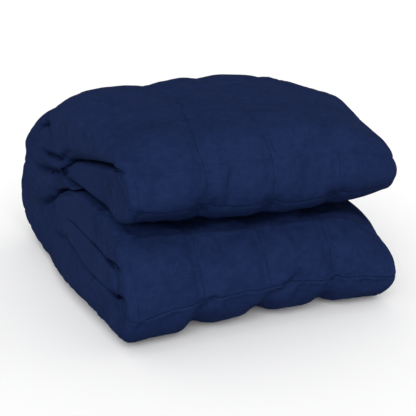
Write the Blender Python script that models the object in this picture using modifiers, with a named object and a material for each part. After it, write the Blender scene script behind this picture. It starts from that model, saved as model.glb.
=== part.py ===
"""Folded weighted blanket.

One quilted cloth is folded in three along its length, which makes a thick strip, and the strip
is then folded five layers high. The strip is made flat first, as a grid with a thickness, and
every point of it is then carried along the folding path.

Units are metres. X runs across the folded width, Y from the front folds to the back, Z is up.
The origin is under the middle of the pile, on the surface that it lies on.
"""
import math

import bmesh
import bpy

NAME = "blanket"

# Driving dimensions of the blanket and the pile.
POCKET = 0.100                     # pitch of the sewn pockets that hold the filling
POCKETS_ACROSS = 4                 # pockets across the folded strip
STRIP_WIDTH = POCKET * POCKETS_ACROSS
PILE_HEIGHT = 0.280                # about how high the pile is before it settles
CHANNEL_DEPTH = 0.0055             # how far a sewn channel sinks into each face
PILLOW_POWER = 0.55                # below 1, a pocket is full nearly to its seams

# How finely the cloth is divided.
STEPS_PER_POCKET = 5               # columns in one pocket, across the strip
COLUMNS = STEPS_PER_POCKET * POCKETS_ACROSS
ROW_LENGTH = 0.0235                # longest step along the outside of the folds
RIM_CUTS = 5                       # points round the thickness at the strip's edges
FACE_LEVEL = 0.5                   # the outer face; the inner one is at minus this
LEVEL_STEP = 2.0 * FACE_LEVEL / (RIM_CUTS + 1)

# The folding path, seen from the left side: a belt that passes clockwise round these turns.
# Each row gives the middle of the strip there: y from the front, z above the surface, the
# radius that it bends to and how thick the strip is. Swell is how late the strip fills out on
# its way to the thicker end of the next straight run: 1 is evenly.
TURNS = (
    # name          y      z       radius  thickness swell
    ("upper_end",   0.246, 0.1765, 0.000,  0.027,    1.0),
    ("upper_front", 0.055, 0.2105, 0.029,  0.055,    1.2),
    ("crest",       0.238, 0.1310, 0.112,  0.094,    1.0),
    ("spine",       0.362, 0.1010, 0.080,  0.146,    3.0),
    ("lower_front", 0.079, 0.0725, 0.049,  0.060,    2.0),
    ("inner_back",  0.282, 0.1140, 0.025,  0.040,    1.0),
    ("lower_end",   0.108, 0.0725, 0.000,  0.030,    1.0),
)
FRONT_ROW_ANGLE = math.radians(5)      # sewn row on the upper front fold, above its middle
LOW_ROW_ANGLE = math.radians(-20)      # sewn row on the lower front fold, below its middle

# The strip's edges. The left one is a fold. The right one is a fold with the narrow flap of
# the third part beside it.
RIM_WIDTH = 0.032                      # how wide the rounding of an edge may be
FLAP_SHARE = 1.0 / 3.0                 # share of the thickness that the flap takes
HEM_GROOVE = 0.014                     # depth of the gap between the flap and the fold

# How the heavy cloth has settled.
SIDE_SPREAD = (0.010, -0.004)          # how far the bottom bulges out, left and right
SIDE_DROP = (0.080, 0.060)             # share of its height that the top loses, left and right
UPPER_PINCH = (0.165, 0.66)            # the upper fold's right end: height and share left
LOWER_PINCH = (0.0, 0.68)              # the same for the lower fold
MOUTH_SINK = 0.010                     # how far the gap between the front folds sinks, right
BACK_SLUMP = 0.03                      # share of its height that the back fold's top loses
TOE = 0.018                            # how far the foot of the lower front fold bulges
CORNER_ROUND = 0.024                   # how far the upper fold's right end stands back
LAYER_WANDER = 0.004                   # how far the folded edges wander sideways
WANDER_PACE = (17.0, 41.0)             # how fast they do so: radians a metre, back and up

# Where that fades in or out: from and to, across (x), back (y) or up (z).
PINCH_X = (0.288, 0.424)
PINCH_Y = (0.02, 0.18)
FRONT_Y = (0.0, 0.12)
SLUMP_Y = (0.28, 0.48)
SINK_X = (0.04, 0.32)
SINK_Y = (0.08, 0.30)
TOE_Z = (0.0, 0.09)
SPREAD_Y = (0.20, 0.40)
SPREAD_Z = (0.0, 0.13)

CLOTH_COLOUR = (0.016, 0.027, 0.082, 1.0)
CLOTH_ROUGHNESS = 0.9


def soft_step(value, low, high):
    """Rise softly from 0 at low to 1 at high."""
    share = min(max((value - low) / (high - low), 0.0), 1.0)
    return share * share * (3.0 - 2.0 * share)


def pillow(share):
    """Fullness of a filled pocket along one direction: 0 on its seams, 1 in its middle."""
    return math.sin(math.pi * min(max(share, 0.0), 1.0)) ** PILLOW_POWER


class Straight:
    """A straight run of the folding path, from one turn to the next."""

    def __init__(self, start, end, thickness, swell):
        self.start = start
        self.swell = swell
        self.length = math.hypot(end[0] - start[0], end[1] - start[1])
        self.along = ((end[0] - start[0]) / self.length, (end[1] - start[1]) / self.length)
        self.thickness = thickness

    def at(self, distance):
        """Give the middle of the strip, its outward normal and its thickness."""
        share = distance / self.length
        first, last = self.thickness
        if last > first:
            eased = share ** self.swell
        else:
            eased = 1.0 - (1.0 - share) ** self.swell
        middle = (self.start[0] + self.along[0] * distance,
                  self.start[1] + self.along[1] * distance)
        return middle, (-self.along[1], self.along[0]), first + (last - first) * eased


class Bend:
    """A clockwise arc of the folding path, round one turn."""

    def __init__(self, centre, radius, start_angle, swing, thickness):
        self.centre = centre
        self.radius = radius
        self.start_angle = start_angle
        self.length = radius * swing
        self.thickness = thickness

    def at(self, distance):
        """Give the middle of the strip, its outward normal and its thickness."""
        angle = self.start_angle - distance / self.radius
        normal = (math.cos(angle), math.sin(angle))
        middle = (self.centre[0] + self.radius * normal[0],
                  self.centre[1] + self.radius * normal[1])
        return middle, normal, self.thickness


def shared_normal(first, second):
    """Outward normal of the straight run that touches two turns on their outer side."""
    along_y = second[1] - first[1]
    along_z = second[2] - first[2]
    gap = math.hypot(along_y, along_z)
    lean = (first[3] - second[3]) / gap
    rise = math.sqrt(1.0 - lean * lean)
    return ((along_y * lean - along_z * rise) / gap, (along_z * lean + along_y * rise) / gap)


def folding_path():
    """Join the turns of the table with straight runs, and give the path's pieces in order."""
    pieces = []
    arriving = None
    for turn, following in zip(TURNS, TURNS[1:] + (None,)):
        name, y, z, radius, thickness, swell = turn
        if following is None:
            break
        leaving = shared_normal(turn, following)
        if arriving:
            start_angle = math.atan2(arriving[1], arriving[0])
            swing = (start_angle - math.atan2(leaving[1], leaving[0])) % (2.0 * math.pi)
            pieces.append(Bend((y, z), radius, start_angle, swing, thickness))
        start = (y + radius * leaving[0], z + radius * leaving[1])
        end = (following[1] + following[3] * leaving[0], following[2] + following[3] * leaving[1])
        pieces.append(Straight(start, end, (thickness, following[4]), swell))
        arriving = leaving
    return pieces


def place_on(path, distance):
    """Give the middle, the normal and the thickness at a distance along the whole path."""
    for piece in path[:-1]:
        if distance <= piece.length:
            return piece.at(distance)
        distance -= piece.length
    return path[-1].at(min(distance, path[-1].length))


def distance_to(path, turn_name, angle):
    """Distance along the path to the point of a front turn that faces forward at an angle."""
    centre = next((turn[1], turn[2]) for turn in TURNS if turn[0] == turn_name)
    travelled = 0.0
    for piece in path:
        if isinstance(piece, Bend) and piece.centre == centre:
            return travelled + piece.radius * ((piece.start_angle - math.pi + angle)
                                               % (2.0 * math.pi))
        travelled += piece.length
    raise ValueError(turn_name)


def outer_length(path, start, end, samples=24):
    """Length of the strip's outer face between two distances along its middle."""
    total = 0.0
    last = None
    for sample in range(samples + 1):
        middle, normal, thickness = place_on(path, start + (end - start) * sample / samples)
        here = (middle[0] + normal[0] * 0.5 * thickness, middle[1] + normal[1] * 0.5 * thickness)
        if last:
            total += math.hypot(here[0] - last[0], here[1] - last[1])
        last = here
    return total


def rows_along(path):
    """List the strip's rows: the distance along the path, and the share across the pocket."""
    total = sum(piece.length for piece in path)
    upper = distance_to(path, "upper_front", FRONT_ROW_ANGLE)
    lower = distance_to(path, "lower_front", LOW_ROW_ANGLE)
    pitch = (lower - upper) / round((lower - upper) / POCKET)
    first_seam = upper % pitch - pitch
    rows = []
    for pocket in range(math.ceil((total - first_seam) / pitch)):
        seam = first_seam + pocket * pitch
        start = max(seam, 0.0)
        end = min(seam + pitch, total)
        steps = max(2, math.ceil(outer_length(path, start, end) / ROW_LENGTH))
        for step in range(steps):
            distance = start + (end - start) * step / steps
            rows.append((distance, (distance - seam) / pitch))
    rows.append((total, (total - seam) / pitch))
    return rows


def flat_strip(row_count):
    """Make the flat strip: a grid with a thickness, and more points round its edges."""
    bpy.ops.mesh.primitive_grid_add(x_subdivisions=COLUMNS, y_subdivisions=row_count - 1,
                                    size=1.0)
    strip = bpy.context.object
    strip.name = NAME
    strip.data.name = NAME
    filling = strip.modifiers.new("filling", "SOLIDIFY")
    filling.thickness = 2.0 * FACE_LEVEL
    filling.offset = 0.0
    bpy.ops.object.modifier_apply(modifier=filling.name)
    cloth = bmesh.new()
    cloth.from_mesh(strip.data)
    upright = [edge for edge in cloth.edges
               if edge.verts[0].co.z * edge.verts[1].co.z < 0.0]
    bmesh.ops.subdivide_edges(cloth, edges=upright, cuts=RIM_CUTS, use_grid_fill=True)
    cloth.to_mesh(strip.data)
    cloth.free()
    return strip


def column_place(column, edge):
    """Give a column's place across the strip and the fullness of its pocket there."""
    pocket, step = divmod(column, STEPS_PER_POCKET)
    share = step / STEPS_PER_POCKET
    x = POCKET * (pocket + share)
    if pocket == 0:
        return edge + (POCKET - edge) * share, pillow(0.5 + 0.5 * share)
    if x > STRIP_WIDTH - POCKET:
        share = (x - STRIP_WIDTH + POCKET) / POCKET
        return STRIP_WIDTH - POCKET + (POCKET - edge) * share, pillow(0.5 * share)
    return x, pillow(share)


def rim_offset(column, level, edge):
    """Shape the rim: how far it stands out sideways, and its place across the thickness.

    The level runs from -0.5 on the inner face to 0.5 on the outer one, and so does the place.
    """
    if column == 0:
        return -edge * math.cos(math.pi * level), 0.5 * math.sin(math.pi * level)
    seam_level = FLAP_SHARE - FACE_LEVEL
    if abs(level - seam_level) < 0.5 * LEVEL_STEP:
        return -HEM_GROOVE, seam_level
    if level < seam_level:
        share, lobe = FLAP_SHARE, 0.5 * (seam_level - FACE_LEVEL)
    else:
        share, lobe = 1.0 - FLAP_SHARE, 0.5 * (seam_level + FACE_LEVEL)
    turn = math.pi * (level - lobe) / share
    return edge * share * math.cos(turn), lobe + 0.5 * share * math.sin(turn)


def settle(x, y, z, upper):
    """Let the folded pile sag under its own weight, and lie flat on the surface."""
    side = 2.0 * x / STRIP_WIDTH - 1.0
    hand = 1 if side > 0.0 else 0
    z *= 1.0 - SIDE_DROP[hand] * side * side * z / PILE_HEIGHT

    # The right ends of the front folds are pressed together.
    right = soft_step(x, *PINCH_X)
    corner = right * (1.0 - soft_step(y, *PINCH_Y))
    height, share_left = UPPER_PINCH if upper else LOWER_PINCH
    z = height + (z - height) * (1.0 - (1.0 - share_left) * corner)
    if upper:
        y += CORNER_ROUND * right * right * (1.0 - soft_step(y, *FRONT_Y))

    # The back fold slumps, the gap between the front folds sinks and the foot bulges.
    z *= 1.0 - BACK_SLUMP * soft_step(y, *SLUMP_Y) * z / PILE_HEIGHT
    sinking = soft_step(x, *SINK_X) * (1.0 - soft_step(y, *SINK_Y))
    z -= MOUTH_SINK * sinking * math.sin(math.pi * min(max(z / PILE_HEIGHT, 0.0), 1.0))
    y -= TOE * (1.0 - soft_step(z, *TOE_Z)) * (1.0 - soft_step(y, *FRONT_Y))

    # The sides spread at the bottom, and no fold lies quite straight on the one below.
    spreading = (1.0 - soft_step(z, *SPREAD_Z)) * (1.0 - soft_step(y, *SPREAD_Y))
    x += SIDE_SPREAD[hand] * side * abs(side) * spreading
    x += LAYER_WANDER * math.sin(WANDER_PACE[0] * y + WANDER_PACE[1] * z)
    return x, y, max(z, 0.0)


def fold(path, rows, column, row, level):
    """Carry one point of the flat strip to its place in the pile."""
    distance, row_share = rows[row]
    middle, normal, thickness = place_on(path, distance)
    edge = min(0.5 * thickness, RIM_WIDTH)
    x, fullness = column_place(column, edge)
    on_rim = abs(level) < FACE_LEVEL - 0.5 * LEVEL_STEP
    end_row = row in (0, len(rows) - 1)
    place = level
    forward = 0.0
    if on_rim and column in (0, COLUMNS):
        sideways, place = rim_offset(column, level, edge)
        x += sideways
    elif on_rim:
        place = 0.5 * math.sin(math.pi * level)
    if on_rim and end_row:
        forward = edge * math.cos(math.pi * level) * (1.0 if row else -1.0)
    lift = place * (thickness - 2.0 * CHANNEL_DEPTH * (1.0 - fullness * pillow(row_share)))
    y = middle[0] + normal[0] * lift + normal[1] * forward
    z = middle[1] + normal[1] * lift - normal[0] * forward
    return settle(x, y, z, distance < 0.5 * rows[-1][0])


def cloth_material():
    """Navy blue woven cloth."""
    material = bpy.data.materials.new("navy_cloth")
    material.use_nodes = True
    shader = material.node_tree.nodes["Principled BSDF"]
    shader.inputs["Base Color"].default_value = CLOTH_COLOUR
    shader.inputs["Roughness"].default_value = CLOTH_ROUGHNESS
    shader.inputs["Metallic"].default_value = 0.0
    return material


def build_blanket():
    """Make the strip, fold it into the pile and put it in its collection."""
    path = folding_path()
    rows = rows_along(path)
    strip = flat_strip(len(rows))
    points = []
    for vertex in strip.data.vertices:
        column = round((vertex.co.x + 0.5) * COLUMNS)
        row = round((vertex.co.y + 0.5) * (len(rows) - 1))
        points.append(fold(path, rows, column, row, vertex.co.z))
    middle_x = 0.5 * (min(point[0] for point in points) + max(point[0] for point in points))
    middle_y = 0.5 * (min(point[1] for point in points) + max(point[1] for point in points))
    for vertex, point in zip(strip.data.vertices, points):
        vertex.co = (point[0] - middle_x, point[1] - middle_y, point[2])
    strip.data.shade_smooth()
    strip.data.materials.append(cloth_material())
    home = bpy.data.collections.new("folded_blanket")
    bpy.context.scene.collection.children.link(home)
    for collection in list(strip.users_collection):
        collection.objects.unlink(strip)
    home.objects.link(strip)


def main():
    """Clear the scene and build the blanket."""
    for old in list(bpy.data.objects):
        bpy.data.objects.remove(old, do_unlink=True)
    build_blanket()


main()
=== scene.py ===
# %% [markdown]
# # A folded weighted blanket
#
# A weighted blanket is one big quilt. Two sheets of cloth are sewn together in a grid of small
# square pockets, and each pocket holds a spoonful of glass beads and some wadding. This one is
# folded in three along its length, which makes a thick strip, and the strip is then folded into
# a pile. The lesson builds the strip flat, carries it round the folds, lets it wrinkle, and
# weaves its cloth from nodes.

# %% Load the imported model
import math

import bmesh
import bpy
import numpy as np
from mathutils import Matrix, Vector, noise


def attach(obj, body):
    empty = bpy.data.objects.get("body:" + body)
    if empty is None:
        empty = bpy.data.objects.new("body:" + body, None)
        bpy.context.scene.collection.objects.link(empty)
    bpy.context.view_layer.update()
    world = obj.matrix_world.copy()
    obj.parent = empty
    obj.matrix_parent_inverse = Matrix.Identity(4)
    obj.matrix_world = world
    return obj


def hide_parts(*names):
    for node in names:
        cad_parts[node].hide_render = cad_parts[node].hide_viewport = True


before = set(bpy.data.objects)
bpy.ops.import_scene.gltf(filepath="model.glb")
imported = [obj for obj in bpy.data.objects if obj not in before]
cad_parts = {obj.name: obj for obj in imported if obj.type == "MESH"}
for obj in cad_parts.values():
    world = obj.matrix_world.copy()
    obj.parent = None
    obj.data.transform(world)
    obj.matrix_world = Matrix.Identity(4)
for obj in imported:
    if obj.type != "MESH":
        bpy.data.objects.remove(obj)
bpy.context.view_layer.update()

# %% [markdown]
# ## The section of the folds
#
# Seen from its left side, the pile is a curled strip with a thickness. The table follows the
# strip from the free end inside the upper fold, round the front, over the top, down the back,
# along the bottom, round the lower front and in to the second free end. Each row gives a point
# of the outer face and the point of the inner face across from it, as y from the front and z
# above the table. The last two columns say how round the two faces are at the strip's left
# edge, in millimetres. A smooth curve goes through all the points.

# %% The folds
POCKET = 0.100
POCKETS_ACROSS = 4
STRIP_WIDTH = POCKET * POCKETS_ACROSS
PILE_HEIGHT = 0.280

SECTION = (
    # name; outer y, z; inner y, z; how round the outer and inner edges are, mm
    ("upper end", 0.243, 0.1690, 0.243, 0.1865, 5, 6),
    ("roof of gap", 0.205, 0.1695, 0.205, 0.2030, 6, 6),
    ("roof of gap", 0.150, 0.1635, 0.150, 0.2145, 7, 6),
    ("roof of gap", 0.095, 0.1590, 0.090, 0.2270, 9, 6),
    ("upper fold", 0.052, 0.1545, 0.058, 0.2350, 13, 6),
    ("upper fold", 0.020, 0.1650, 0.042, 0.2395, 14, 5),
    ("upper fold", 0.002, 0.1890, 0.037, 0.2405, 12, 5),
    ("upper fold", -0.0015, 0.2150, 0.036, 0.2415, 11, 5),
    ("upper fold", 0.006, 0.2400, 0.037, 0.2420, 13, 7),
    ("upper fold", 0.026, 0.2590, 0.042, 0.2425, 20, 12),
    ("top", 0.056, 0.2680, 0.062, 0.2380, 24, 18),
    ("top", 0.105, 0.2760, 0.107, 0.2262, 28, 24),
    ("top", 0.165, 0.2850, 0.165, 0.2125, 34, 26),
    ("top", 0.238, 0.2900, 0.218, 0.2005, 40, 26),
    ("top", 0.300, 0.2770, 0.246, 0.1930, 44, 20),
    ("shoulder", 0.365, 0.2560, 0.250, 0.1880, 48, 12),
    ("back", 0.430, 0.2370, 0.253, 0.1825, 48, 8),
    ("back", 0.485, 0.1930, 0.252, 0.1755, 46, 5),
    ("back", 0.494, 0.1770, 0.236, 0.1685, 45, 3),
    ("back", 0.503, 0.1580, 0.198, 0.1655, 44, 3),
    ("back", 0.510, 0.1400, 0.236, 0.1575, 43, 3),
    ("back", 0.514, 0.1220, 0.272, 0.1455, 42, 4),
    ("back", 0.505, 0.0500, 0.2900, 0.1310, 36, 4),
    ("back", 0.460, 0.0080, 0.3030, 0.1045, 30, 4),
    ("bottom", 0.380, 0.0000, 0.2890, 0.0820, 30, 4),
    ("bottom", 0.280, 0.0000, 0.2450, 0.0755, 32, 4),
    ("bottom", 0.180, 0.0000, 0.180, 0.0725, 33, 4),
    ("bottom", 0.100, -0.002, 0.100, 0.0710, 31, 4),
    ("lower fold", 0.045, 0.0020, 0.046, 0.0705, 26, 4),
    ("lower fold", 0.017, 0.0230, 0.030, 0.0730, 12, 3),
    ("lower fold", 0.001, 0.0580, 0.0265, 0.0790, 13, 2),
    ("lower fold", 0.001, 0.0870, 0.0265, 0.0890, 14, 2),
    ("lower fold", 0.012, 0.1160, 0.0280, 0.0990, 14, 2),
    ("lower fold", 0.042, 0.1420, 0.0370, 0.1055, 13, 2),
    ("floor of gap", 0.090, 0.1545, 0.065, 0.1075, 8, 3),
    ("floor of gap", 0.140, 0.1590, 0.120, 0.1078, 7, 3),
    ("floor of gap", 0.195, 0.1615, 0.180, 0.1078, 7, 2),
    ("floor of gap", 0.243, 0.1520, 0.225, 0.1076, 6, 2),
    ("inner fold", 0.283, 0.1305, 0.243, 0.1075, 5, 2),
    ("inner fold", 0.3005, 0.1050, 0.247, 0.1070, 4, 2),
    ("inner fold", 0.286, 0.0845, 0.243, 0.1066, 3, 2),
    ("lower layer", 0.235, 0.0772, 0.225, 0.1066, 3, 2),
    ("lower layer", 0.170, 0.0736, 0.165, 0.1066, 2, 2),
    ("lower layer", 0.105, 0.0722, 0.105, 0.1064, 2, 2),
    ("lower end", 0.0415, 0.0718, 0.0415, 0.1050, 2, 2),
)


def smooth_curve(points, samples):
    """Catmull-Rom curve: it passes through each point and takes samples steps between two."""
    points = np.array(points, dtype=float)
    padded = np.vstack([2 * points[0] - points[1], points, 2 * points[-1] - points[-2]])
    steps = np.arange(samples) / samples
    pieces = []
    for before, start, end, after in zip(padded, padded[1:], padded[2:], padded[3:]):
        t = steps[:, None]
        pieces.append(0.5 * (2 * start + (end - before) * t
                             + (2 * before - 5 * start + 4 * end - after) * t ** 2
                             + (3 * start - before - 3 * end + after) * t ** 3))
    return np.vstack(pieces + [points[-1:]])


SAMPLES = 24                            # curve steps from one row of the table to the next
outer_curve = smooth_curve([row[1:3] for row in SECTION], SAMPLES)
inner_curve = smooth_curve([row[3:5] for row in SECTION], SAMPLES)
edge_rounds = smooth_curve([row[5:7] for row in SECTION], SAMPLES) / 1000.0
outer_steps = np.linalg.norm(np.diff(outer_curve, axis=0), axis=1)
outer_length = np.concatenate([[0.0], np.cumsum(outer_steps)])
print("outer face of the strip, metres:", round(outer_length[-1], 3))

# %% [markdown]
# ## Where the sewn rows fall
#
# The pockets were sewn before the blanket was folded, so their rows are a pocket apart along
# the cloth's outer face, wherever that goes. Two rows show well in front: one across the upper
# fold, a little above its middle, and one low on the lower fold. The pitch is stretched
# slightly so that both come out right. A third line, the stitching of the hem, runs along the
# underside of the upper fold. An even grid would waste its faces, so the rows are placed closer
# together near each of these lines, where the cloth bends sharply, and are few where nothing can
# be seen. The columns follow the three long seams in the same way, with a few more where the
# front wrinkles.

# %% Rows of the grid
FRONT_ROW_HEIGHT = 0.2250               # of the sewn row across the upper fold
LOW_ROW_HEIGHT = 0.0520                 # and of the one across the lower fold
HEM_LINE_HEIGHT = 0.1770                # and of the hem's stitching under the upper fold
FINE_STEPS = 22                         # grid steps across a pocket that shows
COARSE_STEPS = 8                        # and across a hidden one
RESTING_STEPS = 14                      # and across one that lies on the table
CLUSTER = 0.50                          # how much closer together the steps are at a seam
SEEN_ROWS = (3, 36)                     # rows of the table between which the outer face shows
RESTING_ROWS = (24, 27)                 # and between which it lies on the table
LINE_CLEAR = 0.0075                     # no other row comes nearer to a sewn line than this
END_CLEAR = 0.002
LINE_ROWS = (-0.0060, -0.0038, -0.0020, -0.0009, 0.0, 0.0009, 0.0020, 0.0038, 0.0060)


def length_at_height(name, height):
    """Outer length of the place on a fold's front where the outer face is at this height."""
    rows = [n for n, row in enumerate(SECTION) if row[0] == name]
    near = range(rows[0] * SAMPLES, rows[-1] * SAMPLES + 1)
    return outer_length[min(near, key=lambda n: abs(outer_curve[n, 1] - height))]


def clustered(steps):
    """Shares from 0 to 1, closer together near both ends."""
    share = np.arange(steps) / steps
    return share - CLUSTER * np.sin(2.0 * np.pi * share) / (2.0 * np.pi)


front_row = length_at_height("upper fold", FRONT_ROW_HEIGHT)
hem_line = length_at_height("upper fold", HEM_LINE_HEIGHT)
low_row = length_at_height("lower fold", LOW_ROW_HEIGHT)
row_pitch = (low_row - front_row) / round((low_row - front_row) / POCKET)
first_seam = front_row % row_pitch - row_pitch
seen_from, seen_to = (outer_length[n * SAMPLES] for n in SEEN_ROWS)
rest_from, rest_to = (outer_length[n * SAMPLES] for n in RESTING_ROWS)
sewn_lines = (hem_line, front_row, low_row)
row_lengths = [line + step for line in sewn_lines for step in LINE_ROWS]
for pocket in range(math.ceil((outer_length[-1] - first_seam) / row_pitch)):
    seam = first_seam + pocket * row_pitch
    steps = FINE_STEPS if seam + row_pitch > seen_from and seam < seen_to else COARSE_STEPS
    if rest_from < seam + 0.5 * row_pitch < rest_to:
        steps = RESTING_STEPS
    for share in clustered(steps):
        length = seam + share * row_pitch
        clear = all(abs(length - line) > LINE_CLEAR for line in sewn_lines)
        if clear and 0.0 < length < outer_length[-1] - END_CLEAR:
            row_lengths.append(length)
row_lengths = np.array([0.0] + sorted(row_lengths) + [outer_length[-1]])
ROWS = len(row_lengths) - 1
print("row pitch", round(row_pitch, 4), "rows", ROWS)

# %% Columns of the grid
COLUMN_STEPS = 20                               # grid steps from one long seam to the next
WRINKLES_ACROSS = (0.1345, 0.2460, 0.2710)      # extra columns, where the front wrinkles
EXTRA_COLUMNS = (-0.0070, -0.0035, 0.0, 0.0035, 0.0070)
WRINKLE_CLEAR = 0.0100                          # no other column comes nearer to a wrinkle
column_across = {wrinkle + step for wrinkle in WRINKLES_ACROSS for step in EXTRA_COLUMNS}
for pocket in range(POCKETS_ACROSS):
    for share in clustered(COLUMN_STEPS):
        place_across = POCKET * (pocket + share)
        if all(abs(place_across - wrinkle) > WRINKLE_CLEAR for wrinkle in WRINKLES_ACROSS):
            column_across.add(place_across)
column_across = np.array(sorted(column_across | {STRIP_WIDTH}))
COLUMNS = len(column_across) - 1
print("columns", COLUMNS)

# %% [markdown]
# ## The flat strip
#
# A grid gets a thickness with the solidify operator, and its upright edges are cut so that the
# strip's rims can be rounded. Folding a flat strip is simpler than building the pile from five
# layers, and it leaves no joins. While the strip is flat, a vertex's x tells its column, y its
# row and z its level through the thickness: simple whole numbers, from which the next steps
# work out where the vertex goes. The operators don't give the vertices in the same order each
# time, and a simulation feels that, so they are sorted.

# %% Flat strip
RIM_CUTS = 26
LEVELS = RIM_CUTS + 1

flat = bmesh.new()
bmesh.ops.create_grid(flat, x_segments=COLUMNS, y_segments=ROWS, size=0.5)
bmesh.ops.solidify(flat, geom=flat.faces[:], thickness=1.0)
low_z = min(v.co.z for v in flat.verts)
upright = [e for e in flat.edges if abs(e.verts[0].co.z - e.verts[1].co.z) > 0.5]
bmesh.ops.subdivide_edges(flat, edges=upright, cuts=RIM_CUTS, use_grid_fill=True)
bmesh.ops.recalc_face_normals(flat, faces=flat.faces[:])
print("strip:", len(flat.verts), "points,", len(flat.faces), "faces")


# %% The same order at each run
def vertex_number(vertex):
    """A number from the vertex's row, column and level."""
    across, along, up = vertex.co + Vector((0.5, 0.5, -low_z))
    lattice_place = round(along * ROWS) * (COLUMNS + 1) + round(across * COLUMNS)
    return lattice_place * (LEVELS + 1) + round(up * LEVELS)


def corners_number(part):
    """A number from the lowest and the highest vertex of an edge or face."""
    corners = [vertex.index for vertex in part.verts]
    return min(corners) * len(flat.verts) + max(corners)


flat.verts.sort(key=vertex_number)
flat.verts.index_update()
flat.edges.sort(key=corners_number)
flat.faces.sort(key=corners_number)
flat_points = np.array([v.co for v in flat.verts])
column = np.rint((flat_points[:, 0] + 0.5) * COLUMNS).astype(int)
row = np.rint((flat_points[:, 1] + 0.5) * ROWS).astype(int)
level = np.rint((flat_points[:, 2] - low_z) * LEVELS).astype(int)
print("columns, rows and levels:", column.max() + 1, row.max() + 1, level.max() + 1)

# %% Cloth coordinates of every point
across = column_across[column]          # from the left edge, along the cloth
length = row_lengths[row]               # from the upper end, along the outer face
on_outer = level == LEVELS
on_inner = level == 0
on_face = on_outer | on_inner
left_rim = ~on_face & (column == 0)
right_rim = ~on_face & (column == COLUMNS)
end_rim = ~on_face & ((row == 0) | (row == ROWS))
print("points of the left rim:", int(left_rim.sum()), "of the right rim:", int(right_rim.sum()))

# %% [markdown]
# ## Crooked rows
#
# On the real blanket the sewn rows do not run quite level. The cloth has slid a little as it
# was folded, more at the left edge than in the middle. Each of the two front rows is moved
# along the cloth by a few millimetres, read from a short table, and the cloth round it follows.

# %% Slide
FRONT_ROW_SLIDE = ((0.0, 0.035, 0.100, 0.150, 0.200, 0.300, 0.400),
                   (0.015, 0.008, 0.007, 0.006, 0.004, 0.006, 0.009))
LOW_ROW_SLIDE = ((0.0, 0.050, 0.100, 0.160, 0.200, 0.240, 0.300, 0.350, 0.400),
                 (-0.006, 0.001, 0.002, 0.008, 0.003, 0.012, 0.004, 0.009, 0.009))
SLIDE_REACH = 0.085


def bump(value, reach):
    """A soft hump: 1 at nought, 0 from reach outwards."""
    return np.cos(0.5 * np.pi * np.clip(value / reach, -1.0, 1.0)) ** 2


slide = (np.interp(across, *FRONT_ROW_SLIDE) * bump(length - front_row, SLIDE_REACH)
         + np.interp(across, *LOW_ROW_SLIDE) * bump(length - low_row, SLIDE_REACH))
print("rows slide by up to", np.abs(slide).max().round(4), "m")


def read_curve(values):
    """Read a curve along the section at every point's own place on the cloth."""
    return np.column_stack([np.interp(length + slide, outer_length, v) for v in values.T])


outer_place = read_curve(outer_curve)
inner_place = read_curve(inner_curve)
round_place = read_curve(edge_rounds)
tangent = np.gradient(outer_curve, axis=0)
tangent = read_curve(tangent / np.linalg.norm(tangent, axis=1)[:, None])

# %% [markdown]
# ## Folding the strip
#
# A point of the outer or inner face goes to its row's place on the section, and across by its
# column. A point of a rim goes round a profile of two rounded corners with a flat between them,
# which gives a plump edge that a bevel could not follow round the folds. The left rim is one
# fold of the cloth, so it is one such profile. The right rim shows the fold and the narrow flap
# of the third part, so it is two profiles with a groove between.

# %% Rim profiles
FLAP_SHARE = 1.0 / 3.0
LOBE_ROUND = 0.016
ROUND_LIMITS = (0.60, 0.55)             # of the outer and inner edge, as shares of the thickness
ROUNDS_TOGETHER = 0.98
LOBE_LIMIT = 0.45


def rim_profile(share, thickness, outer_round, inner_round):
    """Go round a rim from the inner face to the outer one, by share of the way.

    Gives how far in from the rim's plane the point is, and its height in the thickness.
    """
    wall = thickness - outer_round - inner_round
    first = 0.5 * np.pi * inner_round
    last = 0.5 * np.pi * outer_round
    way = share * (first + wall + last)
    turn = np.clip(way / inner_round, 0.0, 0.5 * np.pi)
    inset = inner_round * (1.0 - np.sin(turn))
    height = inner_round * (1.0 - np.cos(turn))
    height += np.clip(way - first, 0.0, wall)
    turn = np.clip((way - first - wall) / outer_round, 0.0, 0.5 * np.pi)
    inset = inset + outer_round * (1.0 - np.cos(turn))
    height += outer_round * np.sin(turn)
    return inset, height


thickness = np.linalg.norm(outer_place - inner_place, axis=1)
share_up = level / LEVELS
outer_round = np.minimum(round_place[:, 0], ROUND_LIMITS[0] * thickness)
inner_round = np.minimum(round_place[:, 1], ROUND_LIMITS[1] * thickness)
round_scale = np.minimum(1.0, ROUNDS_TOGETHER * thickness / (outer_round + inner_round))
outer_round, inner_round = outer_round * round_scale, inner_round * round_scale
left_inset, left_height = rim_profile(share_up, thickness, outer_round, inner_round)

in_flap = share_up < FLAP_SHARE
above_flap = (share_up - FLAP_SHARE) / (1.0 - FLAP_SHARE)
lobe_share = np.where(in_flap, share_up / FLAP_SHARE, above_flap)
lobe_thickness = thickness * np.where(in_flap, FLAP_SHARE, 1.0 - FLAP_SHARE)
lobe_round = np.minimum(LOBE_ROUND, LOBE_LIMIT * lobe_thickness)
right_inset, right_height = rim_profile(lobe_share, lobe_thickness, lobe_round, lobe_round)
right_height = right_height + np.where(in_flap, 0.0, FLAP_SHARE * thickness)
print("strip's thickness, metres:", thickness.min().round(4), "to", thickness.max().round(4))

# %% Across the pile
SEAM_ACROSS = (0.0, 0.1, 0.2, 0.3, 0.4)         # along the cloth
SEAM_X = (0.0, 0.0985, 0.1900, 0.2850, 0.3850)  # and in the pile, from its left side

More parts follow.
